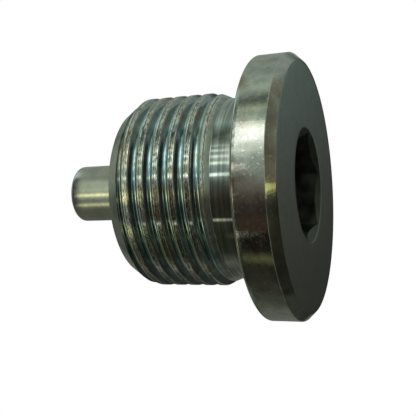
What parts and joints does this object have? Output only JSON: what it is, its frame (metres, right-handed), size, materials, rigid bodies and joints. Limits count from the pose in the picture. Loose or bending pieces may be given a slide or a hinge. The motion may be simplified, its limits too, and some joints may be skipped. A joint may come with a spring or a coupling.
{
  "type": "drain plug",
  "caption": "Magnetic drain plug: collared screw plug with a parallel pipe thread, a relief neck, a hexagon socket in the head and a round magnet in its end.",
  "frame": {"origin": "centre of the head's outer face, which the plug stands on", "axes": "+Z along the screw axis, from the head to the magnet; +X is the side turned to the camera in the picture"},
  "size_m": [0.0222, 0.0222, 0.0215],
  "materials": {
    "plated_steel": "turned steel, zinc plated with a thin iridescent passivation, oil-darkened",
    "magnet": "plated magnet rod with a ground side"
  },
  "bodies": {
    "root": {"plug_body": "plated_steel", "magnet_pin": "magnet"}
  },
  "joints": []
}
